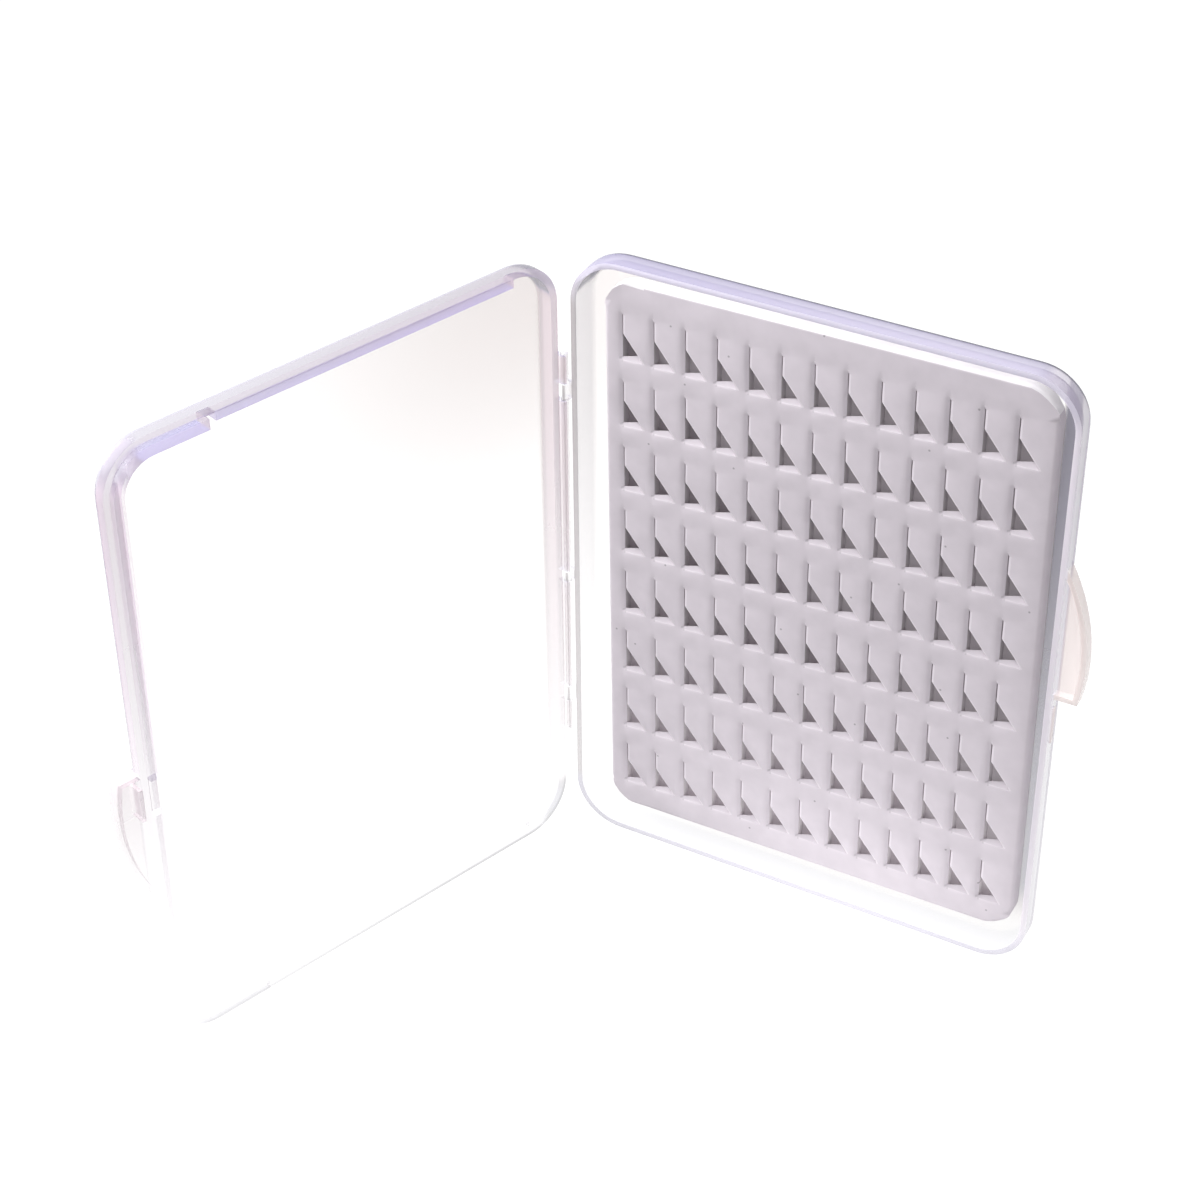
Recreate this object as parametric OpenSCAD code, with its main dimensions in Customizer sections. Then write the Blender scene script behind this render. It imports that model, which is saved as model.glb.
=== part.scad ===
// Slim clear fly box, standing on a short side and opened like a book.
// The tray's inside faces -Y, its hinged side is at the left and its free side at the right.
// The origin is the middle of the flat face that the tray stands on.
// Each half is drawn lying down (X across, Y up its height, Z into its depth from the rim)
// and stood up afterwards.

/* [Case] */
// Height of both halves, the side along the hinge
case_height = 127; // [112:1:140]
// Width of both halves, from the hinged side to the free side
case_width = 94.5; // [84:0.5:110]
// Radius of the four corners seen from the front
corner_r = 9.5; // [7.5:0.1:13]
// Angle between the two halves as they stand
open_angle = 109.4; // [95:0.2:150]

/* [Tray] */
// Outside depth of the tray
tray_depth = 6.4; // [5.6:0.1:9]
// Rounding between the tray's side walls and its back panel
tray_edge_r = 2.9; // [2:0.1:3.5]
// Thickness of the tray's side walls
tray_wall = 1.1; // [0.9:0.1:1.6]
// Thickness of the tray's back panel
tray_panel = 1.2; // [0.9:0.1:1.5]

/* [Lid] */
// Outside depth of the lid
lid_depth = 4.2; // [4:0.1:7]
// Rounding between the lid's side walls and its panel
lid_edge_r = 2.6; // [2:0.1:3]
// Thickness of the lid's side walls
lid_wall = 1.5; // [1.2:0.1:1.8]
// Thickness of the lid's panel
lid_panel = 1.2; // [0.9:0.1:1.5]
// Thickness of the ledge inside the top, bottom and free walls
ledge_thick = 1.8; // [1.1:0.1:2.2]
// How far the ledge lies behind the rim
ledge_drop = 0.3; // [0.1:0.1:0.6]
// How far the tongue stands proud of the rim
tongue_height = 1.3; // [0.8:0.1:1.8]
// Length of the tongue along the top and bottom, from the free side
tongue_reach = 20.3; // [16:0.1:30]
// Gap in the ledge where the tongue ends
ledge_notch = 2.2; // [1.5:0.1:4]
// Clearance between the tongue and the tray's wall
tongue_clearance = 0.1; // [0.06:0.02:0.3]

/* [Hinge] */
// Distance from the hinge axis to the outside of both hinged walls
axis_offset = 1.4; // [1.4:0.1:1.8]
// Diameter of the rod that is moulded with the tray's lugs
rod_d = 1.4; // [1.1:0.1:1.4]
// Outside diameter of the lugs and hooks
barrel_d = 2.5; // [2.5:0.05:2.6]
// Radial clearance between the rod and the hooks
rod_clearance = 0.05; // [0.02:0.01:0.09]
// Width of the mouth through which a hook snaps onto the rod
hook_mouth = 1; // [0.6:0.1:1]
// Height of the hinge's lower end above the bottom
barrel_bottom = 21.7; // [18:0.1:24]
// Length of the hinge from end to end
barrel_length = 84.7; // [82:0.1:88]
// Length of the upper and lower lug
lug_length = 3.2; // [2.4:0.1:4]
// Length of the middle lug
middle_lug_length = 2; // [1.5:0.1:3]
// Distance from the hinge's lower end to the lower lug's middle
lower_lug_up = 8.8; // [7:0.1:10]
// Distance from the hinge's lower end to the middle lug's middle
middle_lug_up = 36.6; // [30:0.1:44]
// Distance from the hinge's upper end to the upper lug's middle
upper_lug_down = 7.6; // [6:0.1:9]
// Gap between a lug and the hook beside it
hook_side_gap = 0.2; // [0.1:0.05:0.4]
// Distance from the rim back to the webs of the lugs and hooks
web_drop = 0.25; // [0.2:0.05:0.4]

/* [Thumb tabs and catch] */
// How far a thumb tab stands out from the free side
tab_reach = 5.3; // [4:0.1:7]
// Radius of a thumb tab's arched edge
tab_arch_r = 40; // [32:1:60]
// Distance from a tab's flat end to the top of its arch
tab_arch_up = 8; // [4:0.5:10]
// Depth of a thumb tab from the rim
tab_depth = 2.5; // [2.2:0.1:3.5]
// Thickness of a thumb tab's skin round its pocket
tab_skin = 1; // [0.8:0.1:1.3]
// Gap between the flat ends of the two tabs when closed
tab_gap = 0.8; // [0.4:0.1:1.6]
// How far the tray's catch ridge stands out
ridge_height = 0.6; // [0.4:0.05:0.8]
// Length of the catch ridge
ridge_length = 7.6; // [5:0.1:10]
// Distance from mid-height down to the catch ridge's upper end
ridge_down = 1.8; // [1.4:0.1:3]
// Distance from the rim back to the catch ridge
ridge_drop = 0.15; // [0.1:0.05:0.3]
// Depth of the catch ridge
ridge_depth = 0.85; // [0.6:0.05:1.2]
// Thickness of the lid's catch hook
catch_thick = 0.7; // [0.6:0.05:1]
// Gap between the catch hook and the ends of the notch it stands in
catch_side_gap = 0.4; // [0.2:0.05:0.6]
// How far the catch hook's bead stands in from the hook
bead_height = 0.25; // [0.1:0.05:0.3]
// Depth of the bead
bead_depth = 0.5; // [0.4:0.05:0.7]
// Gap between the ridge and the bead behind it
bead_gap = 0.15; // [0.1:0.05:0.3]
// Clearance between the bead and the ridge as they pass
catch_clearance = 0.05; // [0.03:0.01:0.2]

/* [Foam pad] */
// Thickness of the foam pad
pad_thick = 2.5; // [1.5:0.1:3]
// Thickness of the adhesive sheet behind the pad
glue_thick = 0.15; // [0.1:0.05:0.3]
// Gap from the outside of the hinged side to the pad
pad_margin_hinge = 5.8; // [4.5:0.1:8]
// Gap from the outside of the free side to the pad
pad_margin_free = 4.1; // [3.2:0.1:6]
// Gap from the outside of the top to the pad
pad_margin_top = 5.2; // [4.5:0.1:8]
// Gap from the outside of the bottom to the pad
pad_margin_bottom = 5.1; // [4:0.1:8]
// Radius of the pad's corners
pad_corner_r = 6.5; // [4:0.1:8]
// Turn of the pad, which was stuck in a little askew
pad_turn = 0.5; // [-0.6:0.1:0.6]
// Least distance from a slit to the pad's right and top edges
slit_margin = 3; // [2:0.5:3.5]
// Distance between two slits in a row
slit_pitch = 6.18; // [5:0.02:8]
// Distance between two rows
row_pitch = 13.76; // [11:0.02:18]
// Height of a slit from its top to the foot of its triangle
slit_length = 8.4; // [7:0.1:9.5]
// Width of the thin upper stretch of a slit
slit_width = 0.3; // [0.2:0.05:0.6]
// Height of the triangular hole at a slit's foot
triangle_height = 4.6; // [3:0.1:6]
// Width of the triangular hole at its foot
triangle_width = 3.5; // [2.4:0.1:3.6]
// Distance from the pad's left edge to the first column
first_column = 3.3; // [2:0.1:5]
// Distance from the pad's bottom edge to the foot of the lowest row
first_row = 6.1; // [4:0.1:8]

/* [Hidden] */

$fn = 64;
// Overlap where one solid sinks into another, or a cut runs past a face
bite = 0.4;
mid_height = case_height / 2;
ledge_outer = tray_wall + tongue_clearance;
ledge_inner = lid_wall + ledge_thick;
pad_width = case_width - pad_margin_hinge - pad_margin_free;
pad_height = case_height - pad_margin_top - pad_margin_bottom;
pad_back = tray_depth - tray_panel - glue_thick;
// As many slits as the pad has room for
slit_columns = 1 + floor((pad_width - first_column - triangle_width - slit_margin) / slit_pitch);
slit_rows = 1 + floor((pad_height - first_row - slit_length - slit_margin) / row_pitch);
barrel_top = barrel_bottom + barrel_length;
hook_inner_r = rod_d / 2 + rod_clearance;
ridge_top = mid_height - ridge_down;
bead_front = ridge_drop + ridge_depth + bead_gap;
bead_tip = case_width + ridge_height + catch_clearance;
hook_inner = bead_tip + bead_height;
// Lower and upper end of each lug, from the bottom up
lugs = [
    [barrel_bottom + lower_lug_up - lug_length / 2, barrel_bottom + lower_lug_up + lug_length / 2],
    [barrel_bottom + middle_lug_up - middle_lug_length / 2,
     barrel_bottom + middle_lug_up + middle_lug_length / 2],
    [barrel_top - upper_lug_down - lug_length / 2, barrel_top - upper_lug_down + lug_length / 2]
];
// The hooks fill what the lugs leave of the hinge
hooks = [
    [barrel_bottom, lugs[0][0] - hook_side_gap],
    [lugs[0][1] + hook_side_gap, lugs[1][0] - hook_side_gap],
    [lugs[1][1] + hook_side_gap, lugs[2][0] - hook_side_gap],
    [lugs[2][1] + hook_side_gap, barrel_top]
];

// Turns a half drawn lying down to stand with its depth along Y, over the origin
module stand_up() {
    translate([-case_width / 2, -(tray_depth - tray_edge_r) / 2, 0])
        rotate([-90, 0, 0]) mirror([0, 1, 0]) children();
}

// Carries the lid, lying in the tray's place, to its place beyond the hinge
module swing_open() {
    translate([-axis_offset, 0, 0]) mirror([1, 0, 0]) rotate([0, 180 - open_angle, 0])
        translate([axis_offset, 0, 0]) children();
}

// Section across a pan, with both corners at the back rounded
module pan_section(across, depth, edge) {
    intersection() {
        square([across, depth]);
        union() {
            square([across, depth - edge]);
            translate([edge, 0]) square([across - 2 * edge, depth]);
            for (x = [edge, across - edge])
                translate([x, depth - edge]) circle(r = edge);
        }
    }
}

// Solid pan with rounded corners and a rounded edge all round its back
module pan(width, height, depth, corner, edge) {
    translate([corner, 0, 0]) rotate([90, 0, 90])
        linear_extrude(width - 2 * corner) pan_section(height, depth, edge);
    translate([0, height - corner, 0]) rotate([90, 0, 0])
        linear_extrude(height - 2 * corner) pan_section(width, depth, edge);
    for (x = [corner, width - corner], y = [corner, height - corner])
        translate([x, y, 0]) rotate_extrude() {
            square([corner, depth - edge]);
            square([corner - edge, depth]);
            intersection() {
                translate([corner - edge, depth - edge]) circle(r = edge);
                square([corner, depth]);
            }
        }
}

// The pan inset by a wall on every side, from the rim back to the panel
module hollow(wall, depth, panel, edge) {
    translate([wall, wall, 0])
        pan(case_width - 2 * wall, case_height - 2 * wall, depth - panel, corner_r - wall, edge - wall);
}

// Plate with rounded corners, inset from the case's outline
module plate(inset, from, to) {
    r = corner_r - inset;
    translate([inset, inset, from]) linear_extrude(to - from) {
        translate([r, 0]) square([case_width - 2 * inset - 2 * r, case_height - 2 * inset]);
        translate([0, r]) square([case_width - 2 * inset, case_height - 2 * inset - 2 * r]);
        for (x = [r, case_width - 2 * inset - r], y = [r, case_height - 2 * inset - r])
            translate([x, y]) circle(r = r);
    }
}

// Outline of the tray's thumb tab: an arch with a flat lower end, shrunk by a skin
module tab_outline(skin) {
    foot = mid_height + tab_gap / 2;
    intersection() {
        translate([case_width + tab_reach - tab_arch_r, foot + tab_arch_up]) circle(r = tab_arch_r - skin);
        translate([case_width - lid_wall / 2, foot + skin])
            square([tab_reach + lid_wall, mid_height / 2]);
    }
}

// Thumb tab with its pocket open towards the rim
module thumb_tab() {
    difference() {
        linear_extrude(tab_depth) tab_outline(0);
        translate([0, 0, -bite]) linear_extrude(tab_depth - tab_skin + bite) intersection() {
            tab_outline(tab_skin);
            translate([case_width, 0]) square([2 * tab_reach, case_height]);
        }
    }
}

// Web that joins a lug or hook to its own hinged wall
module hinge_web(ends) {
    translate([-axis_offset, ends[0], web_drop])
        cube([axis_offset + bite, ends[1] - ends[0], barrel_d / 2 - web_drop]);
}

// Round bar along the hinge axis
module axis_bar(radius, ends) {
    translate([-axis_offset, ends[1], 0]) rotate([90, 0, 0]) cylinder(r = radius, h = ends[1] - ends[0]);
}

module tray_shell() color([0.86, 0.85, 0.91]) stand_up() {
    difference() {
        pan(case_width, case_height, tray_depth, corner_r, tray_edge_r);
        hollow(tray_wall, tray_depth, tray_panel, tray_edge_r);
    }
    thumb_tab();
    // Ridge that the lid's catch hook snaps behind
    translate([case_width - bite, ridge_top - ridge_length, ridge_drop])
        cube([ridge_height + bite, ridge_length, ridge_depth]);
    for (ends = lugs) {
        axis_bar(barrel_d / 2, ends);
        hinge_web(ends);
    }
    axis_bar(rod_d / 2, [barrel_bottom, barrel_top]);
}

// Ledge inside the lid's walls, with the tongue that enters the tray at its free end
module ledge_and_tongue() {
    tongue_start = case_width - tongue_reach;
    difference() {
        union() {
            plate(lid_wall - bite, ledge_drop, lid_depth - lid_panel + bite);
            plate(ledge_outer, -tongue_height, lid_depth - lid_panel);
        }
        plate(ledge_inner, -2 * tongue_height, lid_depth);
        // Proud of the rim only round the free side
        translate([-bite, -bite, -2 * tongue_height])
            cube([tongue_start + bite, case_height + 2 * bite, 2 * tongue_height + ledge_drop]);
        // No ledge along the hinged side
        translate([-bite, -bite, -bite]) cube([corner_r + bite, case_height + 2 * bite, 2 * lid_depth]);
        // Gap where the tongue ends
        translate([tongue_start - ledge_notch, 0, -bite])
            cube([ledge_notch, case_height, lid_depth - lid_panel]);
        // Gap beside the catch
        translate([case_width - ledge_inner - bite, ridge_top - ridge_length, -2 * tongue_height])
            cube([ledge_inner, ridge_length, 2 * tongue_height + ledge_drop]);
    }
}

// Hook moulded on the lid's tab, whose bead passes outside the tray's ridge
module catch_hook() {
    translate([0, ridge_top - catch_side_gap, 0]) rotate([90, 0, 0])
        linear_extrude(ridge_length - 2 * catch_side_gap) polygon([
            [hook_inner, tab_depth - tab_skin / 2],
            [hook_inner, -bead_front],
            [bead_tip, -bead_front - bead_depth / 2],
            [hook_inner, -bead_front - bead_depth],
            [hook_inner + catch_thick, -bead_front - bead_depth],
            [hook_inner + catch_thick, tab_depth - tab_skin / 2]
        ]);
}

module lid_shell() color([0.97, 0.95, 0.97]) stand_up() swing_open() {
    difference() {
        pan(case_width, case_height, lid_depth, corner_r, lid_edge_r);
        hollow(lid_wall, lid_depth, lid_panel, lid_edge_r);
    }
    ledge_and_tongue();
    translate([0, case_height, 0]) mirror([0, 1, 0]) thumb_tab();
    catch_hook();
    for (ends = hooks)
        difference() {
            union() {
                axis_bar(barrel_d / 2, ends);
                hinge_web(ends);
            }
            axis_bar(hook_inner_r, [ends[0] - bite, ends[1] + bite]);
            // Mouth towards the inside of the case
            translate([-axis_offset - hook_mouth / 2, ends[0] - bite, -barrel_d])
                cube([hook_mouth, ends[1] - ends[0] + 2 * bite, barrel_d]);
        }
}

// The pad's outline and the slits share one place and one turn
module pad_place() {
    translate([pad_margin_hinge, pad_margin_bottom]) translate([pad_width / 2, pad_height / 2])
        rotate(pad_turn) translate([-pad_width / 2, -pad_height / 2]) children();
}

module pad_outline() {
    translate([pad_corner_r, 0]) square([pad_width - 2 * pad_corner_r, pad_height]);
    translate([0, pad_corner_r]) square([pad_width, pad_height - 2 * pad_corner_r]);
    for (x = [pad_corner_r, pad_width - pad_corner_r], y = [pad_corner_r, pad_height - pad_corner_r])
        translate([x, y]) circle(r = pad_corner_r);
}

// One slit, thin above and widening to a right triangle at its foot
module slit_outline() {
    polygon([
        [0, 0],
        [triangle_width, 0],
        [slit_width, triangle_height],
        [slit_width, slit_length],
        [0, slit_length]
    ]);
}

module foam_pad() color([0.80, 0.77, 0.80]) stand_up()
    translate([0, 0, pad_back - pad_thick]) linear_extrude(pad_thick) pad_place() difference() {
        pad_outline();
        for (column = [0 : slit_columns - 1], row = [0 : slit_rows - 1])
            translate([first_column + column * slit_pitch, first_row + row * row_pitch]) slit_outline();
    }

module adhesive_sheet() color([0.62, 0.60, 0.60]) stand_up()
    translate([0, 0, pad_back]) linear_extrude(glue_thick) pad_place() pad_outline();

tray_shell();
lid_shell();
foam_pad();
adhesive_sheet();
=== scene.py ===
import math

import bpy
from mathutils import Matrix, Vector


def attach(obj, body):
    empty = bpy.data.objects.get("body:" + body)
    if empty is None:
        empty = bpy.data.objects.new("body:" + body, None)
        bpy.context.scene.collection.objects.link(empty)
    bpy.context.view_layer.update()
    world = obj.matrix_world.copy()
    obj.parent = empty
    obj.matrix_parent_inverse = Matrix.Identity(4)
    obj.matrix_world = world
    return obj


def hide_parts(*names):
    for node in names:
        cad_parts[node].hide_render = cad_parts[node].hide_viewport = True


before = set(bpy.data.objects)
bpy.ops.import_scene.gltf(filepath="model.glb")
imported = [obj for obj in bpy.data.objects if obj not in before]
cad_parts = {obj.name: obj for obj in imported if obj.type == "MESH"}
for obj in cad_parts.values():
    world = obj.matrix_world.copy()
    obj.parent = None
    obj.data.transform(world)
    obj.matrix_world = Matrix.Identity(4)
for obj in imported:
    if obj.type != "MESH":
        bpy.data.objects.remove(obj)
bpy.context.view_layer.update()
MM = 0.001

# The camera stands to the right of the open box and looks down on it, so that the inside of the
# tray faces it. Its place and lens were fitted to the outlines of both halves and to the slits.
camera_data = bpy.data.cameras.new("camera")
camera_data.sensor_width = 36
camera_data.lens = 82.685
camera = bpy.data.objects.new("camera", camera_data)
bpy.context.scene.collection.objects.link(camera)
camera_place = Vector((159.646, -367.002, 359.946)) * MM
ahead = Vector((-0.38970457, 0.70640102, -0.59087051))
across = Vector((0.87806341, 0.47849206, -0.00707099))
camera_turn = Matrix((across, across.cross(ahead), -ahead)).transposed().to_4x4()
camera.matrix_world = Matrix.Translation(camera_place) @ camera_turn
bpy.context.scene.camera = camera
bpy.context.scene.view_settings.view_transform = "Standard"

# The tray half: one injection moulding of clear random-copolymer polypropylene, with its walls,
# thumb tab, catch ridge and hinge rod. Every edge is broken by the rounding of the mould.
CASE_WIDTH, CASE_HEIGHT = 94.5, 127  # from the hinged side to the free side, and upwards, in mm


def linear(code):
    """An sRGB hex colour as linear RGBA."""
    parts = [int(code[i : i + 2], 16) / 255 for i in (1, 3, 5)]
    return [c / 12.92 if c <= 0.04045 else ((c + 0.055) / 1.055) ** 2.4 for c in parts] + [1]


def add(material, kind, values=(), **settings):
    """Adds a node, sets its settings, and sets or links its inputs by name or number."""
    node = material.node_tree.nodes.new(kind)
    for key, value in settings.items():
        setattr(node, key, value)
    for key, value in dict(values).items():
        if isinstance(value, bpy.types.NodeSocket):
            material.node_tree.links.new(value, node.inputs[key])
        else:
            node.inputs[key].default_value = value
    return node


def maths(material, operation, a, b=0.0, c=0.0):
    """A sum, product or other operation on two or three numbers."""
    return add(material, "ShaderNodeMath", {0: a, 1: b, 2: c}, operation=operation).outputs[0]


def fade(material, value, start, end, low=0.0, high=1.0, kind="LINEAR"):
    """Goes from low to high while the value goes from start to end, and stays level outside."""
    ends = {0: value, 1: start, 2: end, 3: low, 4: high}
    return add(material, "ShaderNodeMapRange", ends, interpolation_type=kind).outputs[0]


def blend(material, share, a, b, way="MIX"):
    """Mixes two colours by the share of the second."""
    colours = {0: share, 6: a, 7: b}
    return add(material, "ShaderNodeMix", colours, data_type="RGBA", blend_type=way).outputs[2]


def new_material(name):
    """An empty material with nodes."""
    material = bpy.data.materials.new(name)
    material.use_nodes = True
    material.node_tree.nodes.clear()
    return material


def give(piece, *materials):
    """Puts these materials on a piece instead of its own."""
    piece.data.materials.clear()
    for material in materials:
        piece.data.materials.append(material)


def polypropylene(name, into, rim, panel, out, free, wall, corner_inside, hazes, tints):
    """Moulded clear polypropylene, which is a little milky.

    Light that crosses a thin panel keeps its colour. Light that comes along a wall, round a corner
    or out of a rim picks up haze, so the haze and its tint are laid out in zones of the half. Some
    of it is painted light and shade: the haze thins towards the bottom, where the floor's light
    washes the plastic white, and several tints are painted shade or a painted dark edge.
    "into" points from the mouth of the half to its panel, and "out" from the hinge to the free
    side. "rim", "panel" and "free" are the places of the mouth, of the panel's inside and of the
    free side's outside along them, and "wall" is the wall's thickness, all in mm. "corner_inside"
    is the direction that the inside of the upper corner at the hinge faces. "hazes" gives the haze
    of each zone at the bottom and at the top, of the corner and the foot as one number, and of the
    panel without and with its veil. "tints" gives the colour of each zone's haze.
    """
    material = new_material(name)
    place = add(material, "ShaderNodeTexCoord")
    tints = {zone: linear(code) for zone, code in tints.items()}

    def along(vector, source):
        """The part of a place or a normal that lies along a vector."""
        both = {0: place.outputs[source], 1: vector}
        return add(material, "ShaderNodeVectorMath", both, operation="DOT_PRODUCT").outputs["Value"]

    def rise(value, start, end, low=0.0, high=1.0):
        """A soft edge: low before the start, high past the end."""
        return fade(material, value, start, end, low, high, "SMOOTHSTEP")

    def fall(value, start, end, low=0.0):
        """A soft edge: 1 before the start, low past the end."""
        return rise(value, start, end, 1.0, low)

    def product(first, *others):
        """What is left where all of some zones lie over each other."""
        for other in others:
            first = maths(material, "MULTIPLY", first, other)
        return first

    def either(a, b):
        """Where at least one of two zones lies."""
        return maths(material, "MAXIMUM", a, b)

    def laid(below, share, above):
        """One haze laid over another in a zone."""
        return add(material, "ShaderNodeMix", {0: share, 2: below, 3: above}).outputs[0]

    def haze_of(zone):
        """The haze of a zone, which changes from the bottom of the half to its top. It is thinner
        low down as painted light, where the floor's light washes the lower parts white.
        """
        return rise(height, 0, CASE_HEIGHT, *hazes[zone])

    def tinted(below, share, zone):
        """A zone's tint laid over a colour."""
        return blend(material, share, below, tints[zone])

    # Where the surface lies, in mm, and how it faces
    depth = along(Vector(into) / MM, "Object")
    outwards = along(Vector(out) / MM, "Object")
    height = along(Vector((0, 0, 1)) / MM, "Object")
    from_middle = maths(material, "SUBTRACT", height, CASE_HEIGHT / 2)
    from_middle = maths(material, "ABSOLUTE", from_middle)
    backward = along(into, "Normal")
    facing = maths(material, "ABSOLUTE", backward)
    upright = maths(material, "ABSOLUTE", along((0, 0, 1), "Normal"))
    hinged = free - CASE_WIDTH

    # The flat panel, and the band of it along the free side: painted shade, for the shade that
    # falls into the narrow gap between the pad and the free wall
    is_panel = product(rise(facing, 0.7, 0.97), rise(depth, panel - 0.9, panel))
    painted_shade_band = product(rise(outwards, free - 5.2, free - 4.6), fall(outwards, free - 2.6, free - 2))
    painted_shade_band = product(painted_shade_band, rise(depth, panel - 0.9, panel - 0.2), rise(height, 4, 16))
    # The round from the walls to the panel's outside. Its tint is painted: on the tray a dark edge
    # line at the silhouette, for the darker room that the round reflects
    is_back = product(rise(backward, 0.02, 0.35), rise(depth, panel - 2.15, panel - 0.95))
    # The top and bottom walls, and the ledges inside them
    is_level = rise(upright, 0.1, 0.6)
    is_ledge = fall(from_middle, 60.8, 61.8)
    # The free side with its wall, the tab outside it, and the tongue inside it
    turned_out = rise(along(out, "Normal"), 0.1, 0.4)
    is_free = product(turned_out, rise(outwards, free - 9, free - 7))
    is_free = either(rise(outwards, free - wall + 0.15, free - wall + 0.25), is_free)
    is_tab = rise(outwards, free + 0.1, free + 0.5)
    near_free = rise(outwards, free - 6, free - 2)
    is_tongue = product(near_free, fall(depth, rim - 0.3, rim - 0.1))
    is_tongue = product(is_tongue, fall(outwards, free - 2.5, free - 2.1))
    # The barrels and the rod outside the hinged side
    is_hinge = fall(outwards, hinged - 1.4, hinged - 1.1)
    # The flat of the rim round the mouth, and its top and bottom ends
    is_rim = product(rise(facing, 0.8, 0.95), fall(depth, rim + 0.2, rim + 0.6))
    near_end = rise(from_middle, 52, 61)
    # The upper corner beside the hinge: painted shade on its inside, which faces away from the
    # light
    is_shaded_corner = product(rise(upright, 0.2, 0.35), fall(upright, 0.85, 0.95), rise(height, 117, 119))
    is_shaded_corner = product(is_shaded_corner, fall(outwards, hinged + 6.5, hinged + 10.5))
    is_shaded_corner = product(is_shaded_corner, rise(along(corner_inside, "Normal"), 0.0, 0.2))
    # The lower edge of the mouth, up to the corner beside the hinge: a faint grey line
    lower_corner = product(fall(height, 8, 12), fall(outwards, hinged + 4.5, hinged + 8.5))
    is_foot = either(fall(height, 0.3, 1.5), lower_corner)
    is_foot = product(is_foot, fall(depth, rim + 0.3, rim + 0.9))

    # The panel is clear at the foot, with a milky veil above that is partly the plastic's haze and
    # partly warm painted shade, densest beside the hinge
    clear, milky = hazes["panel"]
    panel_haze = maths(
        material,
        "MULTIPLY_ADD",
        product(rise(height, 50, 125), milky),
        fall(outwards, hinged - 0.5, free - 10, 0.25),
        clear,
    )
    level_haze = product(haze_of("level"), rise(from_middle, 40, 52, 0.35, 1.0))
    haze = laid(haze_of("side"), is_level, level_haze)
    for share, above in (
        (is_free, haze_of("free")),
        (is_rim, haze_of("rim")),
        (is_tongue, haze_of("tongue")),
        (is_back, haze_of("back")),
        (is_shaded_corner, hazes["corner"]),
        (is_panel, panel_haze),
        (is_hinge, haze_of("hinge")),
        (painted_shade_band, haze_of("painted_shade_band")),
    ):
        haze = laid(haze, share, above)
    foot_haze = product(fall(outwards, hinged - 0.5, free - 10, 0.5), hazes["foot"])
    haze = either(haze, product(is_foot, foot_haze))
    # The haze scatters light onwards, so it hardly holds it back from what lies behind it
    path = add(material, "ShaderNodeLightPath")
    passing = either(path.outputs["Is Shadow Ray"], path.outputs["Is Diffuse Ray"])
    haze = product(haze, maths(material, "MULTIPLY_ADD", passing, -0.8, 1.0))

    # The top and bottom walls: painted shade, darker beside the hinge and towards the back (the
    # "deep" tint)
    level = tinted(tints["level_hinge_shade"], rise(outwards, hinged + 4.5, free - 5), "level")
    level = tinted(level, is_ledge, "ledge")
    level = tinted(level, rise(depth, rim + 1, rim + 4.5, 0.0, 0.5), "deep")
    # The rim's tints change with height, towards the free side and from its sides to its ends:
    # painted light and shade, as the light falls on each part of it
    upwards = rise(height, 0, CASE_HEIGHT)
    rim_sides = tinted(tints["rim_low"], upwards, "rim_high")
    rim_sides = tinted(rim_sides, near_free, "rim_free")
    rim_ends = tinted(tints["rim_bottom"], upwards, "rim_top")
    free_side = tinted(tints["free"], is_level, "free_top")
    colour = blend(material, is_level, tints["side"], level)
    colour = blend(material, is_free, colour, free_side)
    colour = blend(material, is_rim, colour, blend(material, near_end, rim_sides, rim_ends))
    for share, zone in (
        (is_tab, "tab"),
        (is_back, "back"),
        (is_shaded_corner, "corner"),
        (is_panel, "panel"),
        (painted_shade_band, "painted_shade_band"),
        (is_foot, "foot"),
    ):
        colour = tinted(colour, share, zone)
    plastic = add(
        material,
        "ShaderNodeBsdfPrincipled",
        {
            "Base Color": colour,
            "Roughness": 0.22,
            "IOR": 1.49,
            "Specular IOR Level": 0.3,
            "Alpha": haze,
        },
    )
    add(material, "ShaderNodeOutputMaterial", {"Surface": plastic.outputs[0]})
    return material


def moulded(node, name):
    """A copy of a CAD node, merged, with every sharp edge broken by a small round."""
    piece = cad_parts[node].copy()
    piece.data = piece.data.copy()
    piece.name = piece.data.name = name
    piece.parent = None
    for key in list(piece.keys()):
        del piece[key]
    bpy.context.scene.collection.objects.link(piece)
    bpy.ops.object.select_all(action="DESELECT")
    piece.select_set(True)
    bpy.context.view_layer.objects.active = piece
    bpy.ops.mesh.customdata_custom_splitnormals_clear()
    bpy.ops.object.mode_set(mode="EDIT")
    bpy.ops.mesh.select_all(action="SELECT")
    bpy.ops.mesh.remove_doubles(threshold=0.002 * MM)
    bpy.ops.mesh.dissolve_limited(angle_limit=math.radians(0.5))
    bpy.ops.object.mode_set(mode="OBJECT")
    rounding = piece.modifiers.new("rounding", "BEVEL")
    rounding.width = 0.22 * MM
    rounding.segments = 2
    rounding.limit_method = "ANGLE"
    rounding.angle_limit = math.radians(35)
    rounding.use_clamp_overlap = True
    bpy.ops.object.modifier_apply(modifier="rounding")
    bpy.ops.object.shade_smooth_by_angle(angle=math.radians(30))
    return piece


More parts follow.
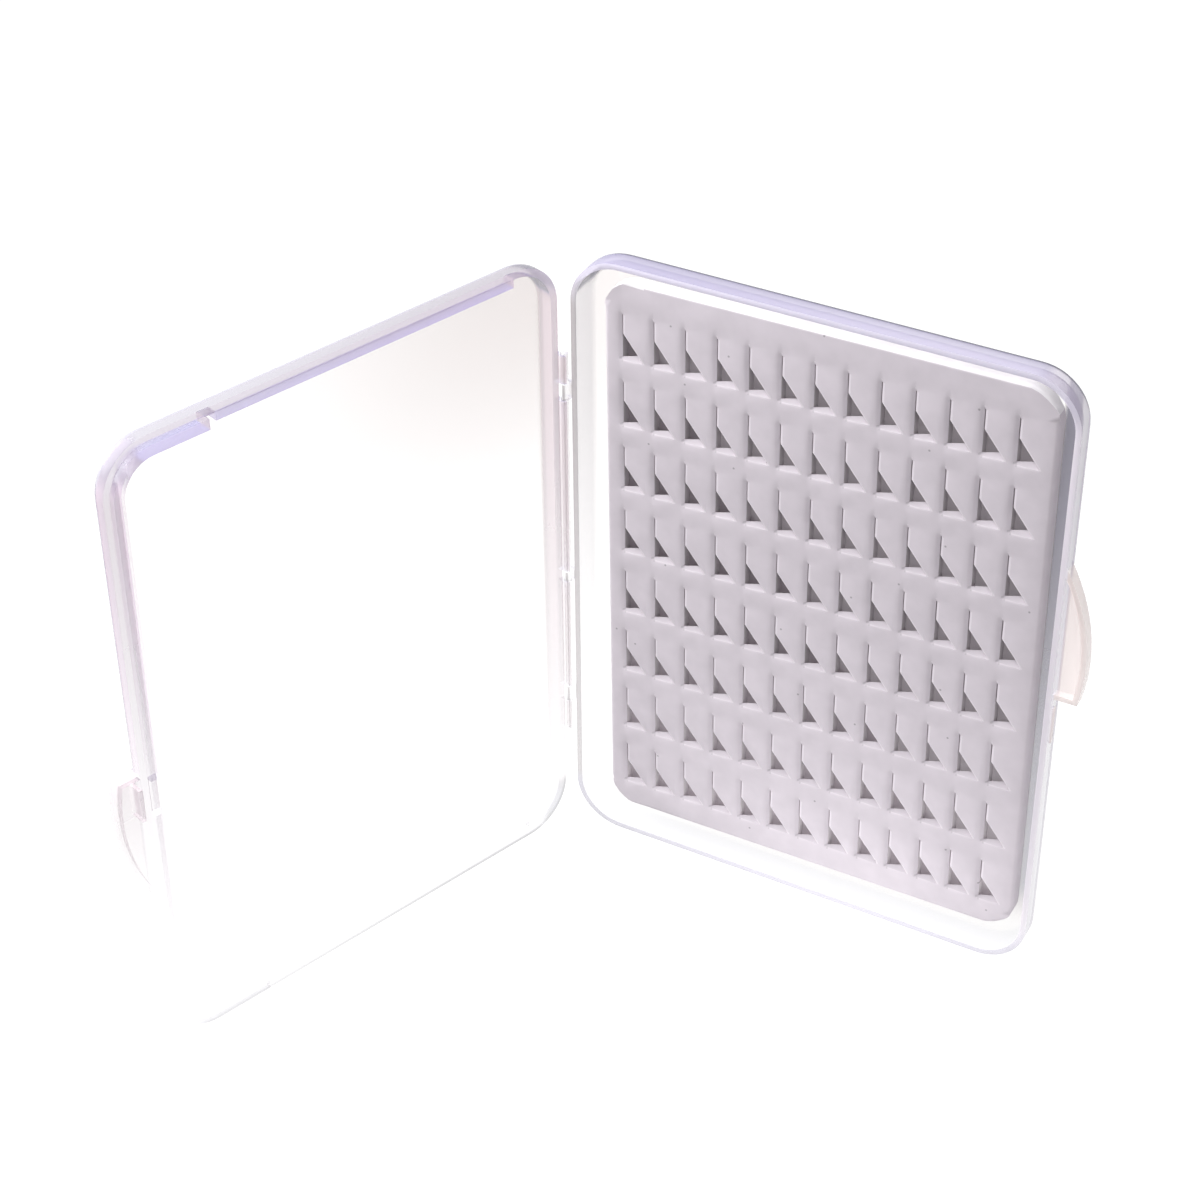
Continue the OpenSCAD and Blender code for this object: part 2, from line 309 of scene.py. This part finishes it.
tray = moulded("tray_shell", "tray_half")
give(
    tray,
    polypropylene(
        "polypropylene_tray",
        into=(0, 1, 0),
        rim=-1.75,
        panel=3.4,
        out=(1, 0, 0),
        free=47.25,
        wall=1.1,
        corner_inside=(0.7, 0, -0.7),
        hazes={
            "side": (0.03, 0.28),
            "level": (0.06, 0.8),
            "rim": (0.6, 0.82),
            "free": (0.3, 0.6),
            "back": (0.05, 1.0),
            "painted_shade_band": (0.3, 0.66),
            "panel": (0.03, 0.1),
            "hinge": (0.02, 0.06),
            "tongue": (0.5, 0.8),
            "corner": 0.75,
            "foot": 0.0,
        },
        tints={
            "side": "#dfd3d6",
            "free": "#cdc4da",
            "free_top": "#cdc4da",
            "level": "#c6c0d6",
            "level_hinge_shade": "#a8a3bc",
            "ledge": "#b0abbf",
            "deep": "#6d6890",
            "rim_low": "#ccc5c8",
            "rim_high": "#b4adb0",
            "rim_free": "#fcf4ff",
            "rim_bottom": "#cec9dc",
            "rim_top": "#e6e0f2",
            "tab": "#fff0ee",
            "back": "#363254",
            "painted_shade_band": "#9a95ab",
            "panel": "#d8b8b0",
            "corner": "#7d7b8c",
            "foot": "#cec9dc",
        },
    ),
)
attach(tray, "tray")
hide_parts("tray_shell")

# The lid half: the same plastic in a second mould, with the snap hooks of the hinge, the ledge and
# tongue that close into the tray, its own thumb tab and the catch.
lid = moulded("lid_shell", "lid_half")
give(
    lid,
    polypropylene(
        "polypropylene_lid",
        into=(-0.943223, 0.332161, 0),
        rim=45.31,
        panel=48.25,
        out=(-0.332161, -0.943223, 0),
        free=113.71,
        wall=1.5,
        corner_inside=(-0.235, -0.667, -0.707),
        hazes={
            "side": (0.13, 0.5),
            "level": (0.03, 0.36),
            "rim": (0.12, 0.5),
            "free": (0.03, 0.72),
            "back": (0.03, 0.5),
            "painted_shade_band": (0.0, 0.0),
            "panel": (0.0, 0.22),
            "hinge": (0.02, 0.06),
            "tongue": (0.02, 0.1),
            "corner": 0.6,
            "foot": 0.29,
        },
        tints={
            "side": "#e2cfd6",
            "free": "#d2bad1",
            "free_top": "#8f849a",
            "level": "#685c80",
            "level_hinge_shade": "#685c80",
            "ledge": "#a39df4",
            "deep": "#5c5870",
            "rim_low": "#dcc6cf",
            "rim_high": "#ccb8c6",
            "rim_free": "#c2a9be",
            "rim_bottom": "#cdc6dd",
            "rim_top": "#d8c4e4",
            "tab": "#f6e4ee",
            "back": "#a29eb4",
            "painted_shade_band": "#6f6a8c",
            "panel": "#d8b8b0",
            "corner": "#8d8ba2",
            "foot": "#6a6670",
        },
    ),
)
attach(lid, "lid")
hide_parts("lid_shell")

# The foam pad: a sheet of closed-cell EVA foam, die-cut with rows of slits that each open into a
# triangle, so that a fly's hook can be pushed in. The cut presses the edges of each slit inwards.
PAD_WIDTH, PAD_HEIGHT, PAD_CORNER, PAD_THICK = 84.6, 117.7, 6.5, 2.5
PAD_PLACE = Vector((0.85, 0.8, 63.95))  # the middle of its front face in the case
COLUMNS, ROWS, PITCH, ROW = 13, 8, 6.18, 13.76
GRID_LEFT, GRID_FOOT = 1.7, 3.4
GRID_RIGHT, GRID_TOP = GRID_LEFT + COLUMNS * PITCH, GRID_FOOT + ROWS * ROW
# One slit in its cell, in mm: its two sides and its top, then the foot, toe and apex of its
# triangle. The upper line of the foot runs from the sill at the left to a bend near the toe.
LEFT, RIGHT, TOP = 1.6, 1.93, 11.2
FOOT, TOE, APEX = 2.15, 5.9, 7.35
SILL, BEND_X, BEND_Z = 2.5, 5.04, 3.1
PAST_BEND = BEND_X + 0.1
SILL_SLOPE = (BEND_Z - SILL) / (PAST_BEND - LEFT)
LIP = 0.45  # the width of the rounded lip on the right
# Where the die presses the face in round a slit: the lines at the left where the press starts and
# where it is halfway, and its ends below and above
PRESS_START, PRESS_HALFWAY, PRESS_BELOW, PRESS_ABOVE = 0.8, 1.15, 1.75, 12.0


def select(piece, wanted, kind="verts"):
    """Selects the vertices or faces of a piece in edit mode by place, in mm."""
    bpy.ops.mesh.select_all(action="DESELECT")
    bpy.ops.object.mode_set(mode="OBJECT")
    if kind == "verts":
        for v in piece.data.vertices:
            v.select = bool(wanted(v.co.x / MM, v.co.z / MM))
    else:
        for f in piece.data.polygons:
            f.select = bool(wanted(f.center.x / MM, f.center.z / MM))
    bpy.ops.object.mode_set(mode="EDIT")


def near(a, b):
    """True for two places in mm that are the same but for rounding."""
    return abs(a - b) < 0.02


bpy.ops.object.select_all(action="DESELECT")
bpy.ops.mesh.primitive_plane_add(
    size=1, location=(PITCH / 2 * MM, 0, ROW / 2 * MM), rotation=(math.pi / 2, 0, 0)
)
pad = bpy.context.object
pad.name = pad.data.name = "foam_sheet"
pad.scale = (PITCH * MM, ROW * MM, 1)
bpy.ops.object.transform_apply(location=True, rotation=True, scale=True)
bpy.ops.object.mode_set(mode="EDIT")
for x in (PRESS_START, PRESS_HALFWAY, LEFT, RIGHT):
    bpy.ops.mesh.select_all(action="SELECT")
    bpy.ops.mesh.bisect(plane_co=(x * MM, 0, 0), plane_no=(1, 0, 0))
for z in (PRESS_BELOW, FOOT, APEX, TOP, PRESS_ABOVE):
    bpy.ops.mesh.select_all(action="SELECT")
    bpy.ops.mesh.bisect(plane_co=(0, 0, z * MM), plane_no=(0, 0, 1))
bpy.ops.mesh.select_mode(type="FACE")


def cut(wanted, start, end):
    """Cuts the faces whose centres are wanted along the line from start to end."""
    select(pad, wanted, "faces")
    square = Vector((start[1] - end[1], 0, end[0] - start[0])).normalized()
    bpy.ops.mesh.bisect(plane_co=(start[0] * MM, 0, start[1] * MM), plane_no=square)


def past(x, z):
    """How far a place lies to the right of the triangle's slope, in mm across."""
    return x - RIGHT - (APEX - z) * (TOE - RIGHT) / (APEX - FOOT)


def in_band(x, z):
    """True to the right of the slit's left side, between the triangle's foot and its apex."""
    return LEFT < x and FOOT < z < APEX


def in_triangle(x, z):
    """True inside the triangle."""
    return in_band(x, z) and past(x, z) < 0


def over_foot(x, z):
    """True above the upper line of the triangle's pressed foot, or past its bend."""
    past_bend = (x - BEND_X) * (BEND_Z - FOOT) + (z - BEND_Z) * (TOE - BEND_X) > 0
    return z > SILL + (x - LEFT) * SILL_SLOPE or past_bend


# The slit's rounded right lip, the triangle's slope with its own lip, and the pressed-in foot
cut(lambda x, z: x > RIGHT and APEX < z < TOP, (RIGHT + LIP, APEX), (RIGHT + LIP, TOP))
cut(lambda x, z: x > RIGHT and in_band(x, z), (RIGHT, APEX), (TOE, FOOT))
cut(lambda x, z: in_band(x, z) and past(x, z) > 0, (RIGHT + LIP, APEX), (TOE + LIP, FOOT))
cut(lambda x, z: x < LEFT and FOOT < z < APEX, (0, SILL), (LEFT, SILL))
cut(in_triangle, (LEFT, SILL), (PAST_BEND, BEND_Z))
cut(lambda x, z: in_triangle(x, z) and z < BEND_Z, (BEND_X, BEND_Z), (TOE, FOOT))
select(
    pad,
    lambda x, z: (LEFT < x < RIGHT and APEX < z < TOP) or (in_triangle(x, z) and over_foot(x, z)),
    "faces",
)
bpy.ops.mesh.delete(type="FACE")
bpy.ops.mesh.select_mode(type="VERT")
# Each row: where the vertices are, and how far they move across and back, in mm
presses = (
    (lambda x, z: near(x, PRESS_HALFWAY) and SILL - 0.1 < z < TOP + 0.1, (0, 0.14)),
    (lambda x, z: near(x, LEFT) and near(z, TOP), (0.08, 0.35)),
    (lambda x, z: near(x, LEFT) and near(z, APEX), (0.04, 0.5)),
    (lambda x, z: near(x, LEFT) and near(z, SILL), (0, 0.6)),
    (lambda x, z: near(x, LEFT) and near(z, FOOT), (0, 0.25)),
    (lambda x, z: near(x, RIGHT) and near(z, FOOT), (0, 0.12)),
    (lambda x, z: near(x, RIGHT) and SILL < z < SILL + 0.2, (0, 0.62)),
    (lambda x, z: -0.04 < x - BEND_X < 0.06 and abs(z - BEND_Z) < 0.1, (0, 1.2)),
    (lambda x, z: 0.06 < x - BEND_X < 0.26 and abs(z - BEND_Z) < 0.1, (0, 0.2)),
    (lambda x, z: near(x, RIGHT) and APEX - 0.1 < z < TOP + 0.1, (0, 0.2)),
)
for where, (sideways, inwards) in presses:
    select(pad, where)
    bpy.ops.transform.translate(value=(sideways * MM, inwards * MM, 0))
bpy.ops.object.mode_set(mode="OBJECT")
for count, axis, step in ((COLUMNS, 0, PITCH), (ROWS, 2, ROW)):
    row = pad.modifiers.new("row", "ARRAY")
    row.count = count
    row.use_relative_offset = False
    row.use_constant_offset = True
    row.constant_offset_displace = [step * MM if i == axis else 0 for i in range(3)]
    row.use_merge_vertices = True
    row.merge_threshold = 0.02 * MM
    bpy.ops.object.modifier_apply(modifier="row")
pad.location = (GRID_LEFT * MM, 0, GRID_FOOT * MM)
bpy.ops.object.transform_apply(location=True, rotation=False, scale=False)
bpy.ops.object.mode_set(mode="EDIT")
# The plain margins round the grid of slits
margins = (
    (lambda x, z: near(x, GRID_LEFT), (-GRID_LEFT, 0, 0)),
    (lambda x, z: near(x, GRID_RIGHT), (PAD_WIDTH - GRID_RIGHT, 0, 0)),
    (lambda x, z: near(z, GRID_FOOT), (0, 0, -GRID_FOOT)),
    (lambda x, z: near(z, GRID_TOP), (0, 0, PAD_HEIGHT - GRID_TOP)),
)
for where, by in margins:
    select(pad, where)
    bpy.ops.mesh.extrude_edges_move(TRANSFORM_OT_translate={"value": [b * MM for b in by]})
# The die's rounded corners, cut off in small steps
CORNER_STEPS = 12
bpy.ops.mesh.select_mode(type="FACE")
for corner_x, inward_x in ((0, 1), (PAD_WIDTH, -1)):
    for corner_z, inward_z in ((0, 1), (PAD_HEIGHT, -1)):
        centre = Vector((corner_x + inward_x * PAD_CORNER, 0, corner_z + inward_z * PAD_CORNER))
        for step in range(CORNER_STEPS):
            turn = math.radians((step + 0.5) * 90 / CORNER_STEPS)
            out = Vector((-inward_x * math.cos(turn), 0, -inward_z * math.sin(turn)))
            bpy.ops.mesh.select_all(action="SELECT")
            bpy.ops.mesh.bisect(
                plane_co=(centre + out * PAD_CORNER) * MM, plane_no=out, clear_outer=True
            )
bpy.ops.mesh.select_mode(type="VERT")
bpy.ops.mesh.select_all(action="SELECT")
bpy.ops.mesh.remove_doubles(threshold=0.01 * MM)


def from_corner(x, z):
    """How far a place lies outside the centre of the nearest rounded corner, in mm."""
    x = max(abs(x - PAD_WIDTH / 2) - PAD_WIDTH / 2 + PAD_CORNER, 0)
    z = max(abs(z - PAD_HEIGHT / 2) - PAD_HEIGHT / 2 + PAD_CORNER, 0)
    return math.hypot(x, z)


def on_corner(x, z):
    """True on the line of a rounded corner."""
    return abs(from_corner(x, z) - PAD_CORNER) < 0.05


# Short edges left on the corners would fold over in the bevel
select(pad, on_corner)
bpy.ops.mesh.remove_doubles(threshold=0.35 * MM)
# The sheet's thickness: it is drawn back further than the deepest press, made flat and moved up
bpy.ops.mesh.select_all(action="SELECT")
bpy.ops.mesh.extrude_region_move(TRANSFORM_OT_translate={"value": (0, 4 * MM, 0)})
bpy.ops.transform.resize(value=(1, 0, 1))
bpy.ops.object.mode_set(mode="OBJECT")
drawn_back = max(v.co.y for v in pad.data.vertices)
bpy.ops.object.mode_set(mode="EDIT")
bpy.ops.transform.translate(value=(0, PAD_THICK * MM - drawn_back, 0))
# The punch tears the underside further down than the face, so the foot of each hole is undercut.
# Each row: the height of the vertices in their cell, and how far down they move, in mm
bpy.ops.object.mode_set(mode="OBJECT")
undercuts = (
    (PRESS_BELOW, 1.45),
    (FOOT, 1.55),
    (SILL, 1.6),
    (2.556, 1.6),
    (3.09, 1.3),
    (3.11, 1.3),
)
for v in pad.data.vertices:
    underside = v.co.y > (PAD_THICK - 0.1) * MM
    in_grid = GRID_LEFT - 0.2 < v.co.x / MM < GRID_RIGHT + 0.16
    z = (v.co.z / MM - GRID_FOOT) % ROW
    for low, down in undercuts:
        if underside and in_grid and abs(z - low) < 0.008:
            v.co.z -= down * MM
bpy.ops.object.mode_set(mode="EDIT")
bpy.ops.mesh.select_all(action="SELECT")
bpy.ops.mesh.normals_make_consistent(inside=False)


def outline(p):
    """True on the trimmed outline of the sheet, at its front."""
    x, z = p.x / MM, p.z / MM
    side = near(abs(x - PAD_WIDTH / 2), PAD_WIDTH / 2)
    end = near(abs(z - PAD_HEIGHT / 2), PAD_HEIGHT / 2)
    return (side or end or on_corner(x, z)) and abs(p.y) < 0.01 * MM


# The edge of the front face, rounded by the die's pressure
bpy.ops.mesh.select_mode(type="EDGE")
bpy.ops.mesh.select_all(action="DESELECT")
bpy.ops.object.mode_set(mode="OBJECT")
for e in pad.data.edges:
    e.select = all(outline(pad.data.vertices[i].co) for i in e.vertices)
bpy.ops.object.mode_set(mode="EDIT")
bpy.ops.mesh.bevel(offset=0.8 * MM, segments=4, affect="EDGES")
bpy.ops.object.mode_set(mode="OBJECT")
bpy.ops.object.shade_smooth_by_angle(angle=math.radians(40))
pad.matrix_world = (
    Matrix.Translation(PAD_PLACE * MM)
    @ Matrix.Rotation(-math.radians(0.5), 4, "Y")
    @ Matrix.Translation(Vector((-PAD_WIDTH / 2, 0, -PAD_HEIGHT / 2)) * MM)
)
bpy.ops.object.transform_apply(location=True, rotation=True, scale=True)

# The heights between which the light from the floor that reaches into the slits dies away
LIT_BELOW, DARK_ABOVE = 20 * MM, 60 * MM


def eva_foam(name, skin, inside=None):
    """Closed-cell EVA foam in a pale lavender grey, with a matt skin.

    It has a faint mottling, a fine grain and a few dark specks that the die left on it. "inside"
    is the colour deep in a slit, where little light reaches.
    """
    material = new_material(name)
    place = add(material, "ShaderNodeTexCoord")
    split = add(material, "ShaderNodeSeparateXYZ", {0: place.outputs["Object"]})
    x, y, z = split.outputs
    mottle = add(material, "ShaderNodeTexNoise", {"Vector": place.outputs["Object"], "Scale": 220})
    mottle = fade(material, mottle.outputs[0], 0.3, 0.7, 0.96, 1.04)
    flat = add(material, "ShaderNodeCombineXYZ", {0: x, 1: z})
    speck = add(
        material,
        "ShaderNodeTexVoronoi",
        {"Vector": flat.outputs[0], "Scale": 55},
        voronoi_dimensions="2D",
    )
    speck = fade(material, speck.outputs[0], 0.008, 0.014, 0.6, 1.0)
    colour = linear(skin)
    if inside:
        low = fade(material, z, LIT_BELOW, DARK_ABOVE)
        dark = blend(material, low, linear("#eae6e8"), linear(inside))
        colour = blend(material, fade(material, y, 1.1 * MM, 1.7 * MM), colour, dark)
    share = maths(material, "MULTIPLY", mottle, speck)
    grain = add(material, "ShaderNodeTexNoise", {"Vector": place.outputs["Object"], "Scale": 1100})
    bump = add(
        material,
        "ShaderNodeBump",
        {"Height": grain.outputs[0], "Strength": 0.25, "Distance": 0.05 * MM},
    )
    foam = add(
        material,
        "ShaderNodeBsdfPrincipled",
        {
            "Base Color": blend(material, 1.0, colour, share, "MULTIPLY"),
            "Roughness": 0.85,
            "Normal": bump.outputs[0],
        },
    )
    add(material, "ShaderNodeOutputMaterial", {"Surface": foam.outputs[0]})
    return material


give(
    pad,
    eva_foam("eva_foam", "#dad2da"),
    eva_foam("eva_foam_die_cut", "#dcd4db", "#c6c1c4"),
    # A darker copy on the upward facets at the foot of each hole: painted shade
    eva_foam("eva_foam_painted_shade_foot", "#cac3ca"),
    # A lighter copy on the left-facing lips of the slits: a painted highlight
    eva_foam("eva_foam_painted_lip_highlight", "#e8e0e8"),
    # A lighter copy on the upward faces along the top edge: painted light from above
    eva_foam("eva_foam_painted_top_light", "#f6f2f6"),
)
DIE_CUT, SHADED_FOOT, LIP_HIGHLIGHT, LIT_TOP_EDGE = 1, 2, 3, 4
for face in pad.data.polygons:
    x = abs(face.center.x / MM - PAD_PLACE.x) + PAD_WIDTH / 2
    z = abs(face.center.z / MM - PAD_PLACE.z) + PAD_HEIGHT / 2
    inside = from_corner(x, z) < PAD_CORNER - 1.5
    if inside and face.center.y < 3.0 * MM and abs(face.normal.y) < 0.97:
        if abs(face.normal.y) < 0.4:
            face.material_index = DIE_CUT
        elif face.normal.z > 0.3:
            face.material_index = SHADED_FOOT
        elif face.normal.x < -0.1:
            face.material_index = LIP_HIGHLIGHT
    if z > PAD_HEIGHT - 3 and face.normal.z > 0.2 and not inside:
        face.material_index = LIT_TOP_EDGE
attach(pad, "tray")
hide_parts("foam_pad")

# The adhesive sheet: a double-sided film, greyish where it shows at the foot of the slits and
# through the clear back of the tray.
film = new_material("adhesive_film")
film_place = add(film, "ShaderNodeTexCoord")
film_split = add(film, "ShaderNodeSeparateXYZ", {0: film_place.outputs["Object"]})
# Lighter low down: painted light from the floor, which reaches the film through the lower slits
film_low = fade(film, film_split.outputs[2], LIT_BELOW, DARK_ABOVE)
film_colour = blend(film, film_low, linear("#d8d2d6"), linear("#b2abb0"))
film_skin = add(film, "ShaderNodeBsdfDiffuse", {"Color": film_colour})
film_through = add(film, "ShaderNodeBsdfTranslucent", {"Color": film_colour})
film_both = {0: 0.6, 1: film_skin.outputs[0], 2: film_through.outputs[0]}
film_shader = add(film, "ShaderNodeMixShader", film_both)
add(film, "ShaderNodeOutputMaterial", {"Surface": film_shader.outputs[0]})
give(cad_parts["adhesive_sheet"], film)

# The floor of the light tent: a lit white sheet that the camera sees as plain white, with the
# box's faint shadow on it. Onto the box it shines up in soft spots.
WHITE = linear("#ffffff")
bpy.ops.object.select_all(action="DESELECT")
bpy.ops.mesh.primitive_plane_add(size=6, location=(0, 0, -0.02 * MM))
floor = bpy.context.object
floor.name = "floor"
paper = new_material("white_paper")


def seen_straight(material):
    """1 for rays that come straight from the camera or through the plastic, else 0."""
    path = add(material, "ShaderNodeLightPath")
    total = path.outputs["Is Camera Ray"]
    for kind in ("Is Glossy Ray", "Is Transmission Ray"):
        total = maths(material, "MAXIMUM", total, path.outputs[kind])
    return total


glow = add(paper, "ShaderNodeEmission", {"Color": WHITE, "Strength": 0.92})
shade = add(paper, "ShaderNodeBsdfDiffuse", {"Color": linear("#7c7c7c")})
white = add(paper, "ShaderNodeAddShader", {0: glow.outputs[0], 1: shade.outputs[0]})
paper_place = add(paper, "ShaderNodeTexCoord")
# Each spot: where it is and its radius, in metres, and how bright its middle is. They lie at the
# tray's foot, to its right, under the lid, behind the tray, beyond the lid and at the far right.
spots = (
    (0.013, -0.02, 0.06, 1.85),
    (0.09, -0.02, 0.05, 1.2),
    (-0.08, -0.08, 0.14, 0.4),
    (0.0, 0.12, 0.12, 1.55),
    (-0.2, 0.0, 0.15, 0.3),
    (0.16, -0.02, 0.12, 1.0),
)
strength = 0.0
for spot_x, spot_y, radius, bright in spots:
    centred = {
        0: paper_place.outputs["Object"],
        "Location": (-spot_x / radius, -spot_y / radius, 0),
        "Scale": (1 / radius, 1 / radius, 1 / radius),
    }
    spot = {0: add(paper, "ShaderNodeMapping", centred).outputs[0]}
    spot = add(paper, "ShaderNodeTexGradient", spot, gradient_type="SPHERICAL")
    strength = maths(paper, "MULTIPLY_ADD", spot.outputs[1], bright, strength)
lit = add(paper, "ShaderNodeEmission", {"Color": WHITE, "Strength": strength})
paper_both = {0: seen_straight(paper), 1: lit.outputs[0], 2: white.outputs[0]}
paper_shader = add(paper, "ShaderNodeMixShader", paper_both)
add(paper, "ShaderNodeOutputMaterial", {"Surface": paper_shader.outputs[0]})
give(floor, paper)

# The tent: white cloth, lit from the front and from the right. The camera sees it as plain white.
world = bpy.data.worlds.new("tent")
bpy.context.scene.world = world
world.use_nodes = True
world.node_tree.nodes.clear()
world_place = add(world, "ShaderNodeTexCoord")
strength = 0.0
for towards in ((0, -0.88, 0), (0.8, 0, 0)):
    lean = {0: world_place.outputs["Generated"], 1: towards}
    lean = add(world, "ShaderNodeVectorMath", lean, operation="DOT_PRODUCT").outputs["Value"]
    strength = maths(world, "ADD", maths(world, "MAXIMUM", lean, 0.0), strength)
cloth = add(world, "ShaderNodeBackground", {"Color": WHITE, "Strength": strength})
backdrop = add(world, "ShaderNodeBackground", {"Color": WHITE, "Strength": 1.0})
world_both = {0: seen_straight(world), 1: cloth.outputs[0], 2: backdrop.outputs[0]}
world_shader = add(world, "ShaderNodeMixShader", world_both)
add(world, "ShaderNodeOutputWorld", {"Surface": world_shader.outputs[0]})
OBJECT_MIDDLE = Vector((0, 0, 0.06))


def soft_box(name, place, size, watts):
    """A soft box that hangs in the tent and points at the middle of the object."""
    lamp = bpy.data.lights.new(name, "AREA")
    lamp.shape = "RECTANGLE"
    lamp.size, lamp.size_y = size
    lamp.energy = watts
    box = bpy.data.objects.new(name, lamp)
    box.location = place
    box.rotation_euler = (OBJECT_MIDDLE - Vector(place)).to_track_quat("-Z", "Y").to_euler()
    bpy.context.scene.collection.objects.link(box)


soft_box("top_light", (-0.1, -0.06, 0.4), (0.25, 0.25), 0.75)
soft_box("left_light", (-0.35, -0.1, 0.3), (0.3, 0.3), 2.0)
